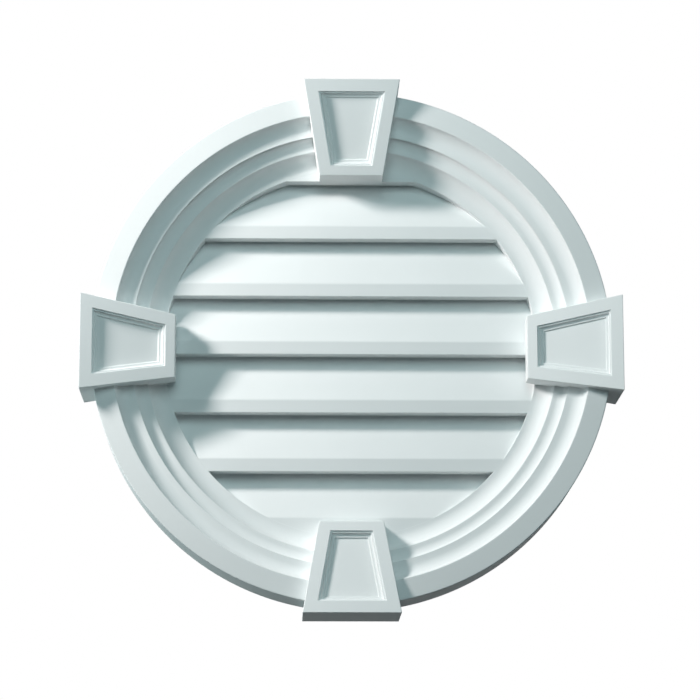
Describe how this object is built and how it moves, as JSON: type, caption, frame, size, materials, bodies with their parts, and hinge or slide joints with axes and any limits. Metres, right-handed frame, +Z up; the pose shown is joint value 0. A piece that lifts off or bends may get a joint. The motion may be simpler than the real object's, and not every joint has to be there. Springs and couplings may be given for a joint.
{
  "type": "round gable vent",
  "caption": "Round louvred gable vent with a stepped-cove surround and tapered keystones, fixed flat to an outside wall.",
  "frame": {"origin": "centre of the ring, in the plane of the flat back that meets the wall", "axes": "+Z up, +X to the right seen from the front, +Y into the wall, so the front faces -Y"},
  "size_m": [0.762, 0.114, 0.762],
  "materials": {
    "moulded_foam": "smooth factory-primed white"
  },
  "bodies": {
    "root": {"gable_vent": "moulded_foam"}
  },
  "joints": []
}
